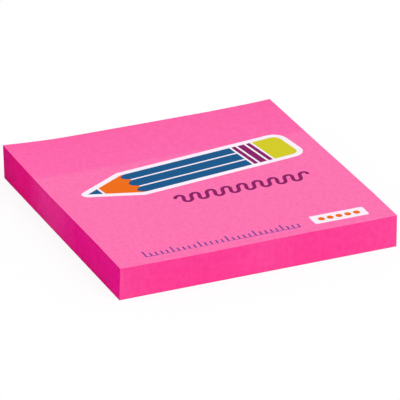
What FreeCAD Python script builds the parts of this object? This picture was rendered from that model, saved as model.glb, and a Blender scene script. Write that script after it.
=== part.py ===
import FreeCAD, Part
import os

import Sketcher

# A square pad of repositionable notes, lying flat on its backing sheet.
#
# The pad is a stack of equal paper notes. Each note has a strip of low-tack glue on its underside,
# along one edge, and that strip alone holds it to the note below. The free part of a note lies
# over the one below with no more than the thickness of the glue between them. So the stack is one
# solid, closed along its glued edge and cut into leaves everywhere else. The strip of the lowest
# note sits on a backing sheet of the same outline, from which the last note peels off.
#
# All lengths are in millimetres. +Z is up, +Y points to the glued edge, and the origin is the
# middle of the underside of the backing sheet.

# Name, value and meaning of each driving dimension.
SIZES = (
    ("note_width", 76.0, "a note along its glued edge"),
    ("note_length", 76.0, "a note from its glued edge to its free edge"),
    ("note_count", 100, "notes in the pad"),
    ("paper_thickness", 0.075, "one note"),
    ("glue_width", 21.0, "glue strip, in from the glued edge"),
    ("glue_thickness", 0.010, "glue strip, and so the gap under the free part of a note"),
    ("backing_thickness", 0.100, "backing sheet"),
)

# The sides of a rectangle in the order in which they are drawn, and the ends of a side.
BOTTOM, RIGHT, TOP, LEFT = range(4)
START, END = range(1, 3)
# The sketch's own origin, as a constraint names it.
ORIGIN = (-1, START)


def make_size_sheet(doc):
    """Write each driving dimension to a cell and give the cell its name."""
    sheet = doc.addObject("Spreadsheet::Sheet", "Sizes")
    for row, (name, value, meaning) in enumerate(SIZES, start=1):
        sheet.set(f"A{row}", meaning)
        sheet.set(f"B{row}", str(value))
        sheet.setAlias(f"B{row}", name)
    doc.recompute()


def origin_feature(body, role):
    """One of the planes or axes that a body brings with it."""
    return next(feature for feature in body.Origin.OriginFeatures if feature.Role == role)


def sketch_from_glued_edge(body, name, reach, height):
    """Draw a rectangle as wide as a note, from the glued edge as far as reach."""
    sketch = body.newObject("Sketcher::SketchObject", name)
    sketch.AttachmentSupport = (origin_feature(body, "XY_Plane"), [""])
    sketch.MapMode = "FlatFace"
    sketch.setExpression("AttachmentOffset.Base.z", height)

    corners = [FreeCAD.Vector(x, y) for x, y in ((-1, -1), (1, -1), (1, 1), (-1, 1))]
    for side in (BOTTOM, RIGHT, TOP, LEFT):
        next_side = (side + 1) % len(corners)
        sketch.addGeometry(Part.LineSegment(corners[side], corners[next_side]))
    for side in (BOTTOM, RIGHT, TOP, LEFT):
        next_side = (side + 1) % len(corners)
        sketch.addConstraint(Sketcher.Constraint("Coincident", side, END, next_side, START))
    for side in (RIGHT, LEFT):
        sketch.addConstraint(Sketcher.Constraint("Vertical", side))
    for side in (BOTTOM, TOP):
        sketch.addConstraint(Sketcher.Constraint("Horizontal", side))

    constrain(sketch, "Width", "DistanceX", (BOTTOM, START, BOTTOM, END), "Sizes.note_width")
    constrain(sketch, "Reach", "DistanceY", (RIGHT, START, RIGHT, END), reach)
    constrain(sketch, "RightEdge", "DistanceX", (*ORIGIN, TOP, START), "Sizes.note_width / 2")
    constrain(sketch, "GluedEdge", "DistanceY", (*ORIGIN, TOP, START), "Sizes.note_length / 2")
    return sketch


def constrain(sketch, name, kind, points, formula):
    """Add a named distance to a sketch and bind it to the sheet."""
    index = sketch.addConstraint(Sketcher.Constraint(kind, *points, 1.0))
    sketch.renameConstraint(index, name)
    sketch.setExpression(f"Constraints.{name}", formula)


def pad_sheet(body, name, reach, thickness, height="0"):
    """Build a flat layer of the pad in a body, height above the body's own base."""
    pad = body.newObject("PartDesign::Pad", name)
    pad.Profile = sketch_from_glued_edge(body, f"{name}Outline", reach, height)
    pad.setExpression("Length", thickness)
    return pad


def make_backing_sheet(doc):
    """The sheet under the last note, with the outline of a note."""
    body = doc.addObject("PartDesign::Body", "backing_sheet")
    body.Placement = FreeCAD.Placement()
    pad_sheet(body, "Backing", "Sizes.note_length", "Sizes.backing_thickness")
    return body


def make_note_stack(doc):
    """All the notes: the lowest one on its glue strip, repeated upwards."""
    body = doc.addObject("PartDesign::Body", "note_stack")
    body.setExpression("Placement.Base.z", "Sizes.backing_thickness")
    note = pad_sheet(body, "Note", "Sizes.note_length", "Sizes.paper_thickness", "Sizes.glue_thickness")
    glue = pad_sheet(body, "Glue", "Sizes.glue_width", "Sizes.glue_thickness")
    doc.recompute()

    notes = body.newObject("PartDesign::LinearPattern", "Notes")
    notes.Originals = [note, glue]
    notes.Direction = (origin_feature(body, "Z_Axis"), [""])
    notes.Mode = "Spacing"
    notes.setExpression("Offset", "Sizes.paper_thickness + Sizes.glue_thickness")
    notes.setExpression("Occurrences", "Sizes.note_count")
    body.Tip = notes
    return body


def check(doc, subparts):
    """Stop before anything is written if a feature failed or a piece isn't one sound solid."""
    for feature in doc.Objects:
        if {"Invalid", "Error"} & set(feature.State):
            raise RuntimeError(f"{feature.Label} failed: {feature.State}")
    for subpart in subparts:
        shape = subpart.Shape
        if shape.isNull() or not shape.isValid() or len(shape.Solids) != 1:
            raise RuntimeError(f"{subpart.Label} isn't one sound solid")


def main():
    doc = FreeCAD.newDocument("StickyNotePad")
    make_size_sheet(doc)
    subparts = [make_backing_sheet(doc), make_note_stack(doc)]
    doc.recompute()
    check(doc, subparts)

    os.makedirs("parts", exist_ok=True)
    for subpart in subparts:
        subpart.Shape.exportStep(f"parts/{subpart.Label}.step")
        box = subpart.Shape.BoundBox
        print(subpart.Label, "from", round(box.ZMin, 3), "to", round(box.ZMax, 3), "mm")


main()
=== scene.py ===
import math

import bpy
import numpy as np
from mathutils import Matrix, Vector
from mathutils.geometry import delaunay_2d_cdt


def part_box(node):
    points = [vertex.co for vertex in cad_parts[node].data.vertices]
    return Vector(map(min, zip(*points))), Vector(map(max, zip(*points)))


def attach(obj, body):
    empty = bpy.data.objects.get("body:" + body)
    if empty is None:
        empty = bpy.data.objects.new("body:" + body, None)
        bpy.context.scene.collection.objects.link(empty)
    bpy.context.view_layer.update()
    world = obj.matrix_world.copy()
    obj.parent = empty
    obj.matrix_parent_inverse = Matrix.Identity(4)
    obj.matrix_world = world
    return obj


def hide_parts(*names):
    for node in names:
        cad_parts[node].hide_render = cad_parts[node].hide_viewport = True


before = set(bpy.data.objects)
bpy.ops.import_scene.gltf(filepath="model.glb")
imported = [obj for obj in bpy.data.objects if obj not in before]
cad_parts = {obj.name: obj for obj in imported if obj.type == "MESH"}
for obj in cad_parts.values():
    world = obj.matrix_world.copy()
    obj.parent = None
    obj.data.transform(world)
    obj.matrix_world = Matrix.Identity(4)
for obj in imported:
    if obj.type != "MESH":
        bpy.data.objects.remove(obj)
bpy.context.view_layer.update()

# A square pad of bright pink notes on a white floor. Each leaf of the pad is a thin closed sheet, so
# the cut edges show as leaves. The upper note carries the print as fields of its own surface.
#
# Lengths are in millimetres until a mesh or a node takes them in metres. +Z is up, +Y points to the
# glued edge, and the origin is the middle of the underside, as in the frame.
MM = 0.001

STACK_LOW, STACK_HIGH = (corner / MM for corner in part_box("note_stack"))
BACKING_LOW, BACKING_HIGH = (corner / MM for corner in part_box("backing_sheet"))
HALF_WIDTH, HALF_LENGTH = STACK_HIGH.x, STACK_HIGH.y
STACK_HEIGHT = STACK_HIGH.z - STACK_LOW.z

# The leaves. Over the glue strip they all but touch, and beyond it they lie a hair apart, a few of
# them more, in gaps that widen and narrow in waves.
NOTE_COUNT = 100
PITCH = STACK_HEIGHT / NOTE_COUNT
GLUE_WIDTH = 21.0
GLUE_LINE = HALF_LENGTH - GLUE_WIDTH
GLUED_GAP, CLOSED_GAP, OPEN_GAP = 0.0005, 0.0010, 0.0090
OPEN_RARITY = 5
GAP_WAVE, GAP_SWING = 9.0, 0.3
# Each leaf is shifted and turned by chance, mostly by less than this.
LEAF_SHIFT = 0.007
LEAF_TURN = math.radians(0.008)
CHANCE_SEED = 76

# The pad isn't quite even. Its top has slid and turned a little on its foot, and stands higher or
# lower than it should along its edges. Heights are pairs of a place on an edge and a rise there.
TOP_SLIDE = (-0.04, 0.23)
TOP_TURN = math.radians(0.39)
FRONT_RISES = ((-38, 0.08), (-28, -0.11), (-14, -0.20), (0, -0.11), (14, -0.07), (28, -0.20), (38, -0.14))
FAR_RISES = ((-38, 0.15), (-20, -0.09), (0, -0.27), (20, -0.39), (32, -0.25), (38, -0.02))
LEFT_RISES = ((-38, 0.08), (-24, 0.29), (-8, 0.25), (8, 0.20), (24, 0.22), (38, 0.15))
RIGHT_RISES = ((-38, -0.14), (-24, 0.11), (-8, 0.07), (8, -0.02), (24, 0.0), (38, -0.02))
# The far left corner curls up, as far in as these distances across the pad and along it.
CURL, CURL_REACH, CURL_BEND = 0.75, (16.0, 30.0), 1.5

# A note's surface is a grid. These are the distances of its lines from the left and right edges,
# from the free edge and from the glued edge, finer where it curls.
STEPS_ACROSS = (0.0, 1.5, 3.5, 6.0, 10.0, 14.0, 18.0, 24.0, 31.0)
STEPS_FROM_FREE_EDGE = (0.0, 7.0, 14.0, 22.0, 30.0, 38.0, 46.0)
STEPS_FROM_GLUED_EDGE = (0.0, 2.0, 4.5, 8.0, 12.0, 16.0)
GLUE_EDGE_WIDTH = 1.0
# Points that lie this close to each other, or to an edge, are one or are on it.
SAME_POINT, ON_EDGE = 1e-5, 1e-4
# The kind of cut that turns all that lies within the outermost points into triangles.
ALL_TRIANGLES = 0
SHARP_EDGE = math.radians(30.0)

# Linear colours.
PINK = (0.968, 0.150, 0.416)
PINK_AT_GLUE_LINE = (0.968, 0.116, 0.394)
PINK_AT_GLUED_EDGE = (0.963, 0.099, 0.369)
EDGE_DEEP = (0.900, 0.048, 0.292)
EDGE_PALE = (0.900, 0.062, 0.308)
EDGE_FREE = (0.960, 0.003, 0.296)
EDGE_LOOSE = (0.955, 0.027, 0.322)
EDGE_GLUED = (0.925, 0.003, 0.246)
# Painted shade: the cut edges of the sides darken at the corners of the glued edge, as under the curled far
# left corner.
EDGE_PAINTED_CORNER_SHADE = (0.745, 0.006, 0.212)
# Painted shade: the cut edge of the backing sheet is dark pink, for the shade at the foot of the pad.
BACKING_RIM_PAINTED_SHADE = (0.620, 0.030, 0.190)
BACKING_WHITE = (0.860, 0.840, 0.790)
INKS = {
    "white": (0.960, 0.868, 0.965),
    "blue": (0.008, 0.096, 0.252),
    "orange": (0.860, 0.155, 0.008),
    "lime": (0.660, 0.600, 0.020),
    "purple": (0.250, 0.012, 0.130),
    "violet": (0.130, 0.050, 0.300),
}
# How the cut edges differ in colour along the front, and along the sides up to the glued edge. The front's
# colours hold a painted sheen of reflected light, which makes them paler, and the sides' hold painted shade,
# which makes them redder: lit and shaded copies of one cut edge.
FRONT_COLOURS_WITH_PAINTED_SHEEN = (
    (-HALF_WIDTH, EDGE_PALE), (-27.0, EDGE_DEEP), (-8.0, EDGE_DEEP), (1.0, EDGE_PALE),
    (12.0, EDGE_DEEP), (20.0, EDGE_DEEP), (HALF_WIDTH, EDGE_PALE),
)
SIDE_COLOURS_WITH_PAINTED_SHADE = (
    (-HALF_LENGTH, EDGE_FREE), (-10.0, EDGE_FREE), (3.0, EDGE_LOOSE), (12.0, EDGE_LOOSE),
    (GLUE_LINE + 4.0, EDGE_GLUED), (28.0, EDGE_GLUED), (HALF_LENGTH, EDGE_PAINTED_CORNER_SHADE),
)
# Red, green and blue differ by up to these shares from spot to spot, most of all on the left and
# right cut edges.
FACE_MOTTLE = (0.028, 0.230, 0.115)
EDGE_MOTTLE = (0.045, 0.280, 0.115)
SIDE_MOTTLE = (0.110, 0.340, 0.170)
INK_MOTTLE = (0.070, 0.070, 0.070)
BACKING_MOTTLE = (0.060, 0.065, 0.080)

# The specular level of each surface, the depth of its relief and its roughness from low to high.
FACE_FINISH = 0.25, 0.006, (0.56, 0.68)
EDGE_FINISH = 0.02, 0.024, (0.78, 0.92)
INK_FINISH = 0.02, 0.004, (0.50, 0.62)
BACKING_FINISH = 0.35, 0.005, (0.34, 0.46)
RELIEF_STRENGTH = 0.5

# The noises, each as the size of its spots along each axis, and its detail. Nearly all values of a
# noise lie in its range, and those of several noises add up in these shares.
FIBRES_ACROSS, FIBRES_ALONG = ((0.30, 0.09, 0.30), 2.0), ((0.10, 0.36, 0.30), 2.0)
CLOUDS = (1.1, 1.1, 1.1), 3.0
GLUE_LINE_WAVES = (2.5, 2.5, 2.5), 2.0
EDGE_WAVES = (3.0, 3.0, 3.0), 2.0
KNIFE_STREAKS = (0.35, 0.35, 12.0), 3.0
EDGE_CLOUDS = (1.3, 1.3, 1.8), 2.0
LEAF_TONES = (9.0, 9.0, 0.07), 1.0
NOISE_RANGE = (0.3, 0.7)
CLOUD_SHARE, FIBRE_SHARE = 0.6, 0.4
EDGE_CLOUD_SHARE, STREAK_SHARE, TONE_SHARE = 0.5, 0.2, 0.3
# The colour of the glue strip fades in over this distance on either side of its line. That line
# wanders a little, and so do the colours of the cut edges.
GLUE_LINE_BLUR, GLUE_LINE_WANDER = 1.2, 0.35
EDGE_WANDER = 1.0

# The print. Places are on the note, from its middle, and those along the pencil are from its tip.
PENCIL_MIDDLE, PENCIL_TILT = (1.0, 7.5), math.radians(7.0)
PENCIL_LENGTH, PENCIL_HALF_WIDTH, FACET_HALF_WIDTH = 60.0, 5.75, 2.2
FACET_EDGES = (-PENCIL_HALF_WIDTH, -FACET_HALF_WIDTH, FACET_HALF_WIDTH, PENCIL_HALF_WIDTH)
LEAD_END, CONE_START, CONE_END = 3.6, 4.2, 13.0
CONE_OVERLAP = 1.0
SCALLOP, SCALLOP_STEPS = 1.8, 8
BODY_END, FERRULE_BANDS, ERASER_START = 45.6, ((46.2, 47.4), (48.0, 50.0), (50.6, 51.8)), 52.4
ERASER_CORNER = 2.2
WHITE_LINE, WHITE_BORDER = 0.6, 1.6
SQUIGGLE_START, SQUIGGLE_END, SQUIGGLE_LEVEL = -9.5, 27.5, -7.8
SQUIGGLE_BENDS, SQUIGGLE_STRAIGHT, SQUIGGLE_SLANT, SQUIGGLE_WIDTH = 17, 0.9, 0.25, 1.0
BEND_STEPS = 10
RULER_START, RULER_LEVEL, RULER_STEP, RULER_MARKS = -29.5, -34.3, 1.5, 29
RULER_LINE, MARK_WIDTH, SHORT_MARK, LONG_MARK, LONG_EVERY = 0.25, 0.42, 1.7, 2.8, 5
LABEL_MIDDLE, LABEL_HALF_SIZE, LABEL_CORNER = (24.5, -32.3), (7.5, 2.2), 0.6
DOT_RADIUS, DOT_STEP, DOT_COUNT = 0.90, 2.45, 5
ARC_STEP = math.radians(12.0)

# The photograph's camera, as fitted to the edges of the pad.
CAMERA_AZIMUTH, CAMERA_ELEVATION, CAMERA_ROLL = (math.radians(angle) for angle in (-24.045, 25.885, 0.350))
CAMERA_DISTANCE = 1332.1
CAMERA_TARGET = Vector((3.297, 6.067, 0.0))
CAMERA_LENS = 466.66
SENSOR_WIDTH = 36.0

# The light. A colour that faces up renders about as written.
AMBIENT = 0.62
KEY_DIRECTION = Vector((0.15, -0.32, 0.38))
KEY_STRENGTH = 1.63
KEY_SOFTNESS = math.radians(50.0)
# The floor lies a hair under the pad. It is grey where it lights the pad, and where it is seen it is
# white and keeps this share of its shadows.
FLOOR_HALF_SIZE = 4000.0
FLOOR_DROP = 0.05
FLOOR_GREY, FLOOR_SEEN = (0.88, 0.88, 0.88), (1.0, 1.0, 1.0)
SHADOW_LEFT = 0.12


# The form of the pad


def rise(x, y):
    """How far the top of the pad stands above its even height at a place on it."""
    across = (x + HALF_WIDTH) / (2 * HALF_WIDTH)
    along = (y + HALF_LENGTH) / (2 * HALF_LENGTH)
    front, far, left, right = (
        np.interp(place, *np.transpose(rises))
        for place, rises in ((x, FRONT_RISES), (x, FAR_RISES), (y, LEFT_RISES), (y, RIGHT_RISES))
    )
    # The four edges meet in the corners, whose rises would otherwise count twice.
    near_side = FRONT_RISES[0][1] * (1 - across) + FRONT_RISES[-1][1] * across
    far_side = FAR_RISES[0][1] * (1 - across) + FAR_RISES[-1][1] * across
    between = front * (1 - along) + far * along + left * (1 - across) + right * across
    even = between - near_side * (1 - along) - far_side * along
    curled = [
        np.clip(1 - distance / reach, 0, 1)
        for distance, reach in zip((x + HALF_WIDTH, HALF_LENGTH - y), CURL_REACH)
    ]
    return even + CURL * (curled[0] * curled[1]) ** CURL_BEND


def settled(points):
    """Where points of an even pad are once it has slid, turned and curled."""
    x, y, z = np.array(points).T
    share = np.clip((z - STACK_LOW.z) / STACK_HEIGHT, 0, 1)
    return np.stack([
        x + share * (TOP_SLIDE[0] - TOP_TURN * y),
        y + share * (TOP_SLIDE[1] + TOP_TURN * x),
        z + share * rise(x, y),
    ], -1)


def in_glue(y):
    """1 over the glue strip, 0 beyond it."""
    return np.clip((y - GLUE_LINE) / GLUE_EDGE_WIDTH + 0.5, 0, 1)


def grid_lines():
    """The places of the grid's lines, across the pad and along it."""
    left = [step - HALF_WIDTH for step in STEPS_ACROSS]
    across = left + [0.0] + [-place for place in reversed(left)]
    free = [step - HALF_LENGTH for step in STEPS_FROM_FREE_EDGE]
    glue_edge = [GLUE_LINE - GLUE_EDGE_WIDTH / 2, GLUE_LINE + GLUE_EDGE_WIDTH / 2]
    glued = [HALF_LENGTH - step for step in reversed(STEPS_FROM_GLUED_EDGE)]
    return np.array(across), np.array(free + glue_edge + glued)


# Meshes


class Shell:
    """Points and faces of closed sheets, with the side of the pad that each face is on."""

    def __init__(self):
        self.points, self.faces, self.sides, self.slots = [], [], [], []

    def add_points(self, points):
        """Add points and return the number of the first."""
        first = len(self.points)
        self.points += [tuple(point) for point in points]
        return first

    def add_faces(self, faces, side, slots):
        """Add faces on one side of the pad, with one material slot or one for each."""
        faces = [tuple(int(corner) for corner in face) for face in faces]
        self.faces += faces
        self.sides += [side] * len(faces)
        self.slots += [slots] * len(faces) if isinstance(slots, int) else slots

    def add_wall(self, upper, lower, side, slot):
        """Close the space between two rows of points with a wall."""
        self.add_faces(zip(lower[:-1], lower[1:], upper[1:], upper[:-1]), side, slot)


# How much of the map for textures a millimetre takes. The first three fit the width of the pad into
# these shares of the map, and the others the height of the stack and of a leaf.
WIDE, FACE, TINY = (share / (2 * HALF_WIDTH) for share in (0.98, 0.93, 0.05))
TALL, THIN = 0.22 / STACK_HEIGHT, 0.006 / PITCH
# The sides of the pad, each with its chart: the axes that run along the map and up it, where the
# chart starts there, and how much of the map a millimetre takes along and up.
STACK_CHARTS = {
    "front": (0, 2, (0.01, 0.01), (WIDE, TALL)),
    "right": (1, 2, (0.01, 0.24), (WIDE, TALL)),
    "back": (0, 2, (0.01, 0.47), (WIDE, TALL)),
    "left": (1, 2, (0.01, 0.70), (WIDE, TALL)),
    "upper": (0, 1, (0.01, 0.94), (TINY, TINY)),
    "lower": (0, 1, (0.10, 0.94), (TINY, TINY)),
}
SHEET_CHARTS = {
    "upper": (0, 1, (0.01, 0.01), (FACE, FACE)),
    "front": (0, 2, (0.01, 0.95), (FACE, THIN)),
    "right": (1, 2, (0.01, 0.96), (FACE, THIN)),
    "back": (0, 2, (0.01, 0.97), (FACE, THIN)),
    "left": (1, 2, (0.01, 0.98), (FACE, THIN)),
    "lower": (0, 1, (0.945, 0.01), (TINY, TINY)),
}
# The backing sheet shows its underside, so that side has the large chart there.
BACKING_CHARTS = SHEET_CHARTS | {
    "lower": (1, 0, (0.01, 0.01), (FACE, FACE)),
    "upper": (0, 1, (0.945, 0.01), (TINY, TINY)),
}


def make_piece(name, shell, charts, materials, replaced):
    """Turn a shell into a piece of the pad that stands for a node of the frame."""
    mesh = bpy.data.meshes.new(name)
    mesh.from_pydata(settled(shell.points) * MM, [], shell.faces)
    for material in materials:
        mesh.materials.append(material)
    mesh.polygons.foreach_set("material_index", shell.slots)
    write_map(mesh, shell, charts)
    mesh.shade_smooth()
    mesh.set_sharp_from_angle(angle=SHARP_EDGE)
    piece = bpy.data.objects.new(name, mesh)
    bpy.context.scene.collection.objects.link(piece)
    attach(piece, "root")
    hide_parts(replaced)


def write_map(mesh, shell, charts):
    """Lay each side of the even pad out flat, so that its cut edges stay sharp in a texture."""
    points = np.array(shell.points)
    low = np.array((-HALF_WIDTH, -HALF_LENGTH, points[:, 2].min()))
    corners = np.array([corner for face in shell.faces for corner in face])
    sides = np.repeat(np.array(shell.sides), [len(face) for face in shell.faces])
    places = np.zeros((len(corners), 2))
    for side, (along, up, start, scale) in charts.items():
        chosen = sides == side
        flat = (points[corners[chosen]] - low)[:, [along, up]]
        places[chosen] = np.array(start) + flat * np.array(scale)
    layer = mesh.uv_layers.new(name="OFBake")
    layer.uv.foreach_set("vector", places.astype(np.float32).ravel())


def add_leaf(shell, under, over, shift, turn, slots):
    """Add a closed sheet. Its underside is a function of x and y, and its upper side a height."""
    x, y = np.meshgrid(*grid_lines(), indexing="ij")
    turned_x = x - turn * y + shift[0]
    turned_y = y + turn * x + shift[1]
    rows = []
    for height in (np.full(x.shape, over), under(x, y)):
        points = np.stack([turned_x, turned_y, height], -1).reshape(-1, 3)
        rows.append(np.arange(x.size).reshape(x.shape) + shell.add_points(points))
    upper, lower = rows
    shell.add_faces(quads_of(upper), "upper", slots["face"])
    shell.add_faces(quads_of(lower[::-1]), "lower", slots["face"])
    shell.add_wall(upper[:, 0], lower[:, 0], "front", slots["front"])
    shell.add_wall(upper[-1], lower[-1], "right", slots["side"])
    shell.add_wall(upper[::-1, -1], lower[::-1, -1], "back", slots["back"])
    shell.add_wall(upper[0, ::-1], lower[0, ::-1], "left", slots["side"])


def quads_of(grid):
    """The faces of a grid of points, seen from above."""
    corners = (grid[:-1, :-1], grid[1:, :-1], grid[1:, 1:], grid[:-1, 1:])
    return np.stack(corners, -1).reshape(-1, 4)


# The print


def disc(middle, radius):
    """A round field."""
    return grown([middle], radius)


def grown(corners, margin):
    """A convex outline, anticlockwise, that lies margin outside its corners and is round there."""
    outline = []
    alone = len(corners) == 1
    for before, corner, after in zip(corners[-1:] + corners[:-1], corners, corners[1:] + corners[:1]):
        start = outward_angle(before, corner)
        sweep = 2 * math.pi if alone else (outward_angle(corner, after) - start) % (2 * math.pi)
        steps = max(1, math.ceil(sweep / ARC_STEP))
        for step in range(steps if alone else steps + 1):
            angle = start + sweep * step / steps
            x = corner[0] + margin * math.cos(angle)
            y = corner[1] + margin * math.sin(angle)
            outline.append((x, y))
    return outline


def outward_angle(start, end):
    """The direction that points out of an anticlockwise outline at one of its sides."""
    return math.atan2(end[1] - start[1], end[0] - start[0]) - math.pi / 2


def box_field(low, high):
    """A rectangular field."""
    return [low, (high[0], low[1]), high, (low[0], high[1])]


def rounded_box(low, high, radius):
    """A rectangular field with round corners."""
    low, high = (low[0] + radius, low[1] + radius), (high[0] - radius, high[1] - radius)
    return grown(box_field(low, high), radius)


def mirrored(half):
    """A whole outline from its half on one side of the long axis."""
    return half + [(along, -across) for along, across in reversed(half)]


def on_pencil(outline):
    """Place a field that is drawn along the pencil, from its tip, on the note."""
    cos, sin = math.cos(PENCIL_TILT), math.sin(PENCIL_TILT)
    placed = []
    for along, across in outline:
        along -= PENCIL_LENGTH / 2
        x = PENCIL_MIDDLE[0] + along * cos - across * sin
        y = PENCIL_MIDDLE[1] + along * sin + across * cos
        placed.append((x, y))
    return placed


def pencil_fields():
    """A pencil with a white border, from back to front."""
    wide, border, soft = PENCIL_HALF_WIDTH, WHITE_BORDER, ERASER_CORNER
    slope = wide / CONE_END
    body = [(0, 0)] + mirrored([(CONE_END, -wide), (PENCIL_LENGTH - soft, -wide)])
    eraser = (ERASER_START - border, -wide - border), (PENCIL_LENGTH + border, wide + border)
    cone = mirrored([(CONE_START, -slope * CONE_START), (CONE_END, -wide), (CONE_END + CONE_OVERLAP, -wide)])
    lead = [(0, 0), (LEAD_END, -slope * LEAD_END), (LEAD_END, slope * LEAD_END)]
    fields = [("white", grown(body, border)), ("white", rounded_box(*eraser, soft + border))]
    fields += [("orange", cone), ("blue", lead)]
    for low, high in zip(FACET_EDGES, FACET_EDGES[1:]):
        # A white line parts each painted side from the next.
        low += WHITE_LINE / 2 if low > -wide else 0
        high -= WHITE_LINE / 2 if high < wide else 0
        fields.append(("blue", facet(low, high)))
    for start, end in FERRULE_BANDS:
        fields.append(("purple", box_field((start, -wide), (end, wide))))
    fields.append(("lime", box_field((ERASER_START, -wide), (PENCIL_LENGTH - soft, wide))))
    fields.append(("lime", rounded_box((ERASER_START, -wide), (PENCIL_LENGTH, wide), soft)))
    return [(name, on_pencil(outline)) for name, outline in fields]


def facet(low, high):
    """One painted side of the pencil, with a scalloped end at its cone."""
    middle, half = (low + high) / 2, (high - low) / 2
    curve = []
    for step in range(SCALLOP_STEPS + 1):
        across = high - (high - low) * step / SCALLOP_STEPS
        depth = SCALLOP * (1 - ((across - middle) / half) ** 2)
        curve.append((CONE_END + CONE_OVERLAP - depth, across))
    return curve + [(BODY_END, low), (BODY_END, high)]


def squiggle_fields():
    """A pencil's wavy line: bends with straights between them, slanted like handwriting."""
    radius = (SQUIGGLE_END - SQUIGGLE_START) / (2 * SQUIGGLE_BENDS)
    path = []
    for bend in range(SQUIGGLE_BENDS):
        middle = SQUIGGLE_START + radius * (2 * bend + 1)
        upward = 1 if bend % 2 == 0 else -1
        for step in range(BEND_STEPS + 1):
            turn = math.pi * step / BEND_STEPS
            height = upward * (SQUIGGLE_STRAIGHT + radius * math.sin(turn))
            x = middle - radius * math.cos(turn) + SQUIGGLE_SLANT * height
            path.append((x, SQUIGGLE_LEVEL + height))
    ends = [disc(path[0], SQUIGGLE_WIDTH / 2), disc(path[-1], SQUIGGLE_WIDTH / 2)]
    return [("purple", outline) for outline in ends + stroke(path, SQUIGGLE_WIDTH)]


def stroke(path, width):
    """Four-cornered fields that follow a path."""
    sides = []
    for before, place, after in zip(path[:1] + path[:-1], path, path[1:] + path[-1:]):
        across = Vector((before[1] - after[1], after[0] - before[0])).normalized() * width / 2
        sides.append((Vector(place) - across, Vector(place) + across))
    fields = []
    for (right, left), (next_right, next_left) in zip(sides, sides[1:]):
        fields.append([right, next_right, next_left, left])
    return fields


def ruler_fields():
    """Marks of a ruler along a thin line, without numbers."""
    end = RULER_START + RULER_STEP * (RULER_MARKS - 1) + MARK_WIDTH
    fields = [("violet", box_field((RULER_START, RULER_LEVEL - RULER_LINE), (end, RULER_LEVEL)))]
    for mark in range(RULER_MARKS):
        x = RULER_START + RULER_STEP * mark
        height = SHORT_MARK if mark % LONG_EVERY else LONG_MARK
        fields.append(("violet", box_field((x, RULER_LEVEL), (x + MARK_WIDTH, RULER_LEVEL + height))))
    return fields


def label_fields():
    """A white label with a row of dots."""
    (x, y), (wide, high) = LABEL_MIDDLE, LABEL_HALF_SIZE
    fields = [("white", rounded_box((x - wide, y - high), (x + wide, y + high), LABEL_CORNER))]
    for dot in range(DOT_COUNT):
        fields.append(("orange", disc((x + DOT_STEP * (dot - (DOT_COUNT - 1) / 2), y), DOT_RADIUS)))
    return fields


def add_printed_leaf(shell, under, over, slots):
    """Add the upper note, with its surface cut along the edges of the print."""
    places = [Vector((x, y)) for x in grid_lines()[0] for y in grid_lines()[1]]
    outlines, inks = [], []
    for name, outline in pencil_fields() + squiggle_fields() + ruler_fields() + label_fields():
        outlines.append(list(range(len(places), len(places) + len(outline))))
        places += [Vector(place) for place in outline]
        inks.append(name)
    places, _, triangles, _, _, owners = delaunay_2d_cdt(places, [], outlines, ALL_TRIANGLES, SAME_POINT)
    flat = np.array([tuple(place) for place in places])
    triangles = np.array(triangles)

    upper = shell.add_points([(x, y, over) for x, y in flat])
    lower = shell.add_points([(x, y, under(x, y)) for x, y in flat])
    surface = [slots[inks[max(owner)]] if owner else slots["face"] for owner in owners]
    shell.add_faces(triangles + upper, "upper", surface)
    shell.add_faces(triangles[:, ::-1] + lower, "lower", slots["face"])
    for side, slot, axis, place, run in (
        ("front", "front", 1, -HALF_LENGTH, 1), ("right", "side", 0, HALF_WIDTH, 1),
        ("back", "back", 1, HALF_LENGTH, -1), ("left", "side", 0, -HALF_WIDTH, -1),
    ):
        edge = np.flatnonzero(np.abs(flat[:, axis] - place) < ON_EDGE)
        edge = edge[np.argsort(run * flat[edge, 1 - axis])]
        shell.add_wall(edge + upper, edge + lower, side, slots[slot])


# Nodes of materials


def start_material(name):
    """A material, its node tree and its shader."""
    material = bpy.data.materials.new(name)
    material.use_nodes = True
    tree = material.node_tree
    return material, tree, tree.nodes["Principled BSDF"]


def feed(tree, value, socket):
    """Link a socket to another one, or set it to a number or a linear colour."""
    if isinstance(value, bpy.types.NodeSocket):
        tree.links.new(value, socket)
    else:
        socket.default_value = value


def noise(tree, sizes, detail):
    """A noise whose spots are about as large as sizes, along each axis."""
    place = tree.nodes.new("ShaderNodeTexCoord")
    mapping = tree.nodes.new("ShaderNodeMapping")
    mapping.inputs["Scale"].default_value = [1 / (size * MM) for size in sizes]
    spots = tree.nodes.new("ShaderNodeTexNoise")
    spots.inputs["Scale"].default_value = 1.0
    spots.inputs["Detail"].default_value = detail
    tree.links.new(place.outputs["Object"], mapping.inputs["Vector"])
    tree.links.new(mapping.outputs["Vector"], spots.inputs["Vector"])
    return spots.outputs["Fac"]


def spread(tree, value, low, high, source=NOISE_RANGE):
    """Map a value from its own range to one from low to high."""
    node = tree.nodes.new("ShaderNodeMapRange")
    for socket, number in zip(("From Min", "From Max", "To Min", "To Max"), (*source, low, high)):
        node.inputs[socket].default_value = number
    tree.links.new(value, node.inputs["Value"])
    return node.outputs["Result"]


def combine(tree, operation, first, second):
    """Arithmetic on two values, each a socket or a number."""
    node = tree.nodes.new("ShaderNodeMath")
    node.operation = operation
    feed(tree, first, node.inputs[0])
    feed(tree, second, node.inputs[1])
    return node.outputs["Value"]


def add_noises(tree, *noises):
    """The sum of noises that each come with a share, from -1 to 1 where the shares add up to 1."""
    total, *others = [spread(tree, value, -share, share) for value, share in noises]
    for other in others:
        total = combine(tree, "ADD", total, other)
    return total


def mean(tree, first, second):
    """The mean of two values."""
    return combine(tree, "DIVIDE", combine(tree, "ADD", first, second), 2.0)


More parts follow.
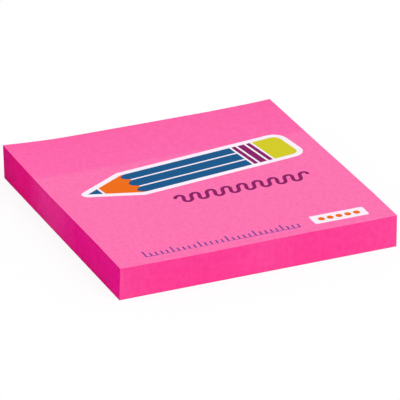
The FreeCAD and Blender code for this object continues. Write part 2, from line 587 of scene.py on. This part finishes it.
def place_along(tree, axis):
    """One coordinate of the pad, in millimetres."""
    place = tree.nodes.new("ShaderNodeTexCoord")
    split = tree.nodes.new("ShaderNodeSeparateXYZ")
    tree.links.new(place.outputs["Object"], split.inputs["Vector"])
    return combine(tree, "DIVIDE", split.outputs[axis], MM)


def blend(tree, first, second, share):
    """Mix two colours by a value."""
    node = tree.nodes.new("ShaderNodeMix")
    node.data_type = "VECTOR"
    inputs = {socket.identifier: socket for socket in node.inputs}
    outputs = {socket.identifier: socket for socket in node.outputs}
    feed(tree, share, inputs["Factor_Float"])
    feed(tree, first, inputs["A_Vector"])
    feed(tree, second, inputs["B_Vector"])
    return outputs["Result_Vector"]


def mottled(tree, colour, uneven, amounts):
    """A colour whose red, green and blue differ by up to these shares, as a value goes from -1 to 1."""
    swing, factor, product = (tree.nodes.new("ShaderNodeVectorMath") for _ in range(3))
    swing.operation, factor.operation, product.operation = "SCALE", "ADD", "MULTIPLY"
    swing.inputs[0].default_value = amounts
    factor.inputs[1].default_value = (1.0, 1.0, 1.0)
    tree.links.new(uneven, swing.inputs["Scale"])
    tree.links.new(swing.outputs["Vector"], factor.inputs[0])
    feed(tree, colour, product.inputs[0])
    tree.links.new(factor.outputs["Vector"], product.inputs[1])
    return product.outputs["Vector"]


def finish_surface(tree, shader, colour, height, finish):
    """Give a shader its colour, its relief and a roughness that follows the relief."""
    specular, depth, roughness = finish
    bump = tree.nodes.new("ShaderNodeBump")
    bump.inputs["Strength"].default_value = RELIEF_STRENGTH
    bump.inputs["Distance"].default_value = depth * MM
    tree.links.new(height, bump.inputs["Height"])
    tree.links.new(bump.outputs["Normal"], shader.inputs["Normal"])
    tree.links.new(spread(tree, height, *roughness), shader.inputs["Roughness"])
    tree.links.new(colour, shader.inputs["Base Color"])
    shader.inputs["Specular IOR Level"].default_value = specular


def fibres(tree):
    """The grain of paper: short fibres that lie both ways."""
    return mean(tree, noise(tree, *FIBRES_ACROSS), noise(tree, *FIBRES_ALONG))


def cloudy(tree, grain):
    """Soft clouds in the paper with its grain over them, from -1 to 1."""
    return add_noises(tree, (noise(tree, *CLOUDS), CLOUD_SHARE), (grain, FIBRE_SHARE))


# Materials


def paper_face():
    """The face of a note: pink paper, deeper in colour where the glue holds it to the next one."""
    material, tree, shader = start_material("note_paper")
    y = place_along(tree, "Y")
    wander = spread(tree, noise(tree, *GLUE_LINE_WAVES), -GLUE_LINE_WANDER, GLUE_LINE_WANDER)
    glue_line = (GLUE_LINE - GLUE_LINE_BLUR, GLUE_LINE + GLUE_LINE_BLUR)
    over_glue = spread(tree, combine(tree, "ADD", y, wander), 0.0, 1.0, glue_line)
    outward = spread(tree, y, 0.0, 1.0, (GLUE_LINE, HALF_LENGTH))
    glued = blend(tree, PINK_AT_GLUE_LINE, PINK_AT_GLUED_EDGE, outward)
    base = blend(tree, PINK, glued, over_glue)
    grain = fibres(tree)
    finish_surface(tree, shader, mottled(tree, base, cloudy(tree, grain), FACE_MOTTLE), grain, FACE_FINISH)
    return material


def ink(name, colour):
    """Matt printing ink that has sunk into the paper, a little uneven over its fibres."""
    material, tree, shader = start_material(f"{name}_ink")
    grain = fibres(tree)
    base = mottled(tree, colour, spread(tree, grain, -1.0, 1.0), INK_MOTTLE)
    finish_surface(tree, shader, base, grain, INK_FINISH)
    return material


def cut_edge(name, axis, colours, mottle):
    """The cut edges of the notes, in colours that each have a place along an axis.

    The knife leaves upright streaks, and each leaf differs a little from the next.
    """
    material, tree, shader = start_material(name)
    start, end = colours[0][0], colours[-1][0]
    wander = spread(tree, noise(tree, *EDGE_WAVES), -EDGE_WANDER, EDGE_WANDER)
    wandering = combine(tree, "ADD", place_along(tree, axis), wander)
    ramp = tree.nodes.new("ShaderNodeValToRGB")
    tree.links.new(spread(tree, wandering, 0.0, 1.0, (start, end)), ramp.inputs["Fac"])
    stops = ramp.color_ramp.elements
    stops[0].color = (*colours[0][1], 1.0)
    stops[-1].color = (*colours[-1][1], 1.0)
    for place, colour in colours[1:-1]:
        stops.new((place - start) / (end - start)).color = (*colour, 1.0)
    clouds, streaks, tones = (noise(tree, *kind) for kind in (EDGE_CLOUDS, KNIFE_STREAKS, LEAF_TONES))
    uneven = add_noises(tree, (clouds, EDGE_CLOUD_SHARE), (streaks, STREAK_SHARE), (tones, TONE_SHARE))
    base = mottled(tree, ramp.outputs["Color"], uneven, mottle)
    finish_surface(tree, shader, base, mean(tree, streaks, tones), EDGE_FINISH)
    return material


def backing_paper():
    """Off-white release paper."""
    material, tree, shader = start_material("backing_paper")
    grain = fibres(tree)
    base = mottled(tree, BACKING_WHITE, cloudy(tree, grain), BACKING_MOTTLE)
    finish_surface(tree, shader, base, grain, BACKING_FINISH)
    return material


def everywhere(colour):
    """One colour all along an edge."""
    return ((-HALF_WIDTH, colour), (HALF_WIDTH, colour))


# The pieces


def sides_of_leaf(leaf, chance):
    """The underside of a leaf as a function of x and y, and the height of its upper side."""
    base = STACK_LOW.z + PITCH * leaf
    opening = CLOSED_GAP + OPEN_GAP * chance.random() ** OPEN_RARITY
    phase = chance.uniform(0, 2 * math.pi)

    def under(x, y):
        free = opening * (1 - GAP_SWING + GAP_SWING * np.sin(phase + (x + y) / GAP_WAVE))
        return base + GLUED_GAP * in_glue(y) + free * (1 - in_glue(y))

    return under, base + PITCH


def make_pad():
    """The lower notes, the upper note with its print, and the backing sheet."""
    chance = np.random.default_rng(CHANCE_SEED)
    note = [
        # The front's cut edges carry a painted sheen, and those of the sides and the back carry painted
        # shade.
        paper_face(), cut_edge("edge_front_painted_sheen", "X", FRONT_COLOURS_WITH_PAINTED_SHEEN, EDGE_MOTTLE),
        cut_edge("edge_side_painted_shade", "Y", SIDE_COLOURS_WITH_PAINTED_SHADE, SIDE_MOTTLE),
        cut_edge("edge_back", "X", everywhere(EDGE_GLUED), EDGE_MOTTLE),
    ]
    slots = {"face": 0, "front": 1, "side": 2, "back": 3}

    stack = Shell()
    for leaf in range(NOTE_COUNT - 1):
        under, over = sides_of_leaf(leaf, chance)
        shift = np.clip(chance.normal(0, LEAF_SHIFT, 2), -2 * LEAF_SHIFT, 2 * LEAF_SHIFT)
        add_leaf(stack, under, over, shift, chance.normal(0, LEAF_TURN), slots)
    make_piece("lower_notes", stack, STACK_CHARTS, note, "note_stack")

    inks = [ink(name, colour) for name, colour in INKS.items()]
    ink_slots = {name: len(note) + number for number, name in enumerate(INKS)}
    upper_note = Shell()
    add_printed_leaf(upper_note, *sides_of_leaf(NOTE_COUNT - 1, chance), slots | ink_slots)
    make_piece("upper_note", upper_note, SHEET_CHARTS, note + inks, "note_stack")

    backing = Shell()
    # The cut edge of the backing sheet carries painted shade.
    painted_shade_rim = cut_edge("backing_rim_painted_shade", "X", everywhere(BACKING_RIM_PAINTED_SHADE), EDGE_MOTTLE)
    sheet_slots = {"face": 0, "front": 1, "side": 1, "back": 1}
    add_leaf(backing, lambda x, y: 0 * x + BACKING_LOW.z, BACKING_HIGH.z, (0.0, 0.0), 0.0, sheet_slots)
    make_piece("backing", backing, BACKING_CHARTS, [backing_paper(), painted_shade_rim], "backing_sheet")


# The studio


def seen_rays(tree):
    """1 for the rays that see a background: the camera's, and those that gloss or glass sends on."""
    path = tree.nodes.new("ShaderNodeLightPath")
    seen = combine(tree, "MAXIMUM", path.outputs["Is Camera Ray"], path.outputs["Is Glossy Ray"])
    return combine(tree, "MAXIMUM", seen, path.outputs["Is Transmission Ray"])


def make_world():
    """Even light from all round, with a white background."""
    world = bpy.data.worlds.new("studio")
    bpy.context.scene.world = world
    world.use_nodes = True
    tree = world.node_tree
    background = tree.nodes["Background"]
    background.inputs["Color"].default_value = (1.0, 1.0, 1.0, 1.0)
    strength = spread(tree, seen_rays(tree), AMBIENT, 1.0, (0.0, 1.0))
    tree.links.new(strength, background.inputs["Strength"])


def make_key_light():
    """A large soft light in front, above and a little to the right."""
    light = bpy.data.lights.new("key", "SUN")
    light.energy = KEY_STRENGTH
    light.angle = KEY_SOFTNESS
    key = bpy.data.objects.new("key", light)
    key.rotation_euler = KEY_DIRECTION.to_track_quat("Z", "Y").to_euler()
    bpy.context.scene.collection.objects.link(key)


def make_floor():
    """A plain pale floor that shows a white ground and a faint shadow of the pad."""
    half = FLOOR_HALF_SIZE * MM
    mesh = bpy.data.meshes.new("floor")
    corners = [(-half, -half, 0), (half, -half, 0), (half, half, 0), (-half, half, 0)]
    mesh.from_pydata(corners, [], [(0, 1, 2, 3)])
    mesh.materials.append(floor_paint())
    floor = bpy.data.objects.new("floor", mesh)
    floor.location.z = -FLOOR_DROP * MM
    bpy.context.scene.collection.objects.link(floor)


def floor_paint():
    """Pale grey where it lights the pad, and nearly plain white where it is seen."""
    material = bpy.data.materials.new("floor")
    material.use_nodes = True
    tree = material.node_tree
    tree.nodes.remove(tree.nodes["Principled BSDF"])
    ground = tree.nodes.new("ShaderNodeBsdfDiffuse")
    white = tree.nodes.new("ShaderNodeEmission")
    mixed = tree.nodes.new("ShaderNodeMixShader")
    seen = seen_rays(tree)
    tree.links.new(blend(tree, FLOOR_GREY, FLOOR_SEEN, seen), ground.inputs["Color"])
    tree.links.new(combine(tree, "MULTIPLY", seen, 1 - SHADOW_LEFT), mixed.inputs["Fac"])
    tree.links.new(ground.outputs["BSDF"], mixed.inputs[1])
    tree.links.new(white.outputs["Emission"], mixed.inputs[2])
    tree.links.new(mixed.outputs["Shader"], tree.nodes["Material Output"].inputs["Surface"])
    return material


def make_camera():
    """The photograph's view."""
    back = Vector((
        math.sin(CAMERA_AZIMUTH) * math.cos(CAMERA_ELEVATION),
        -math.cos(CAMERA_AZIMUTH) * math.cos(CAMERA_ELEVATION),
        math.sin(CAMERA_ELEVATION),
    ))
    turn = back.to_track_quat("Z", "Y").to_matrix() @ Matrix.Rotation(CAMERA_ROLL, 3, "Z")
    lens = bpy.data.cameras.new("camera")
    lens.lens = CAMERA_LENS
    lens.sensor_width = SENSOR_WIDTH
    lens.clip_end = 2 * FLOOR_HALF_SIZE * MM
    camera = bpy.data.objects.new("camera", lens)
    place = (CAMERA_TARGET + back * CAMERA_DISTANCE) * MM
    camera.matrix_world = Matrix.Translation(place) @ turn.to_4x4()
    bpy.context.scene.collection.objects.link(camera)
    bpy.context.scene.camera = camera


make_pad()
make_world()
make_key_light()
make_floor()
make_camera()
bpy.context.scene.view_settings.view_transform = "Standard"
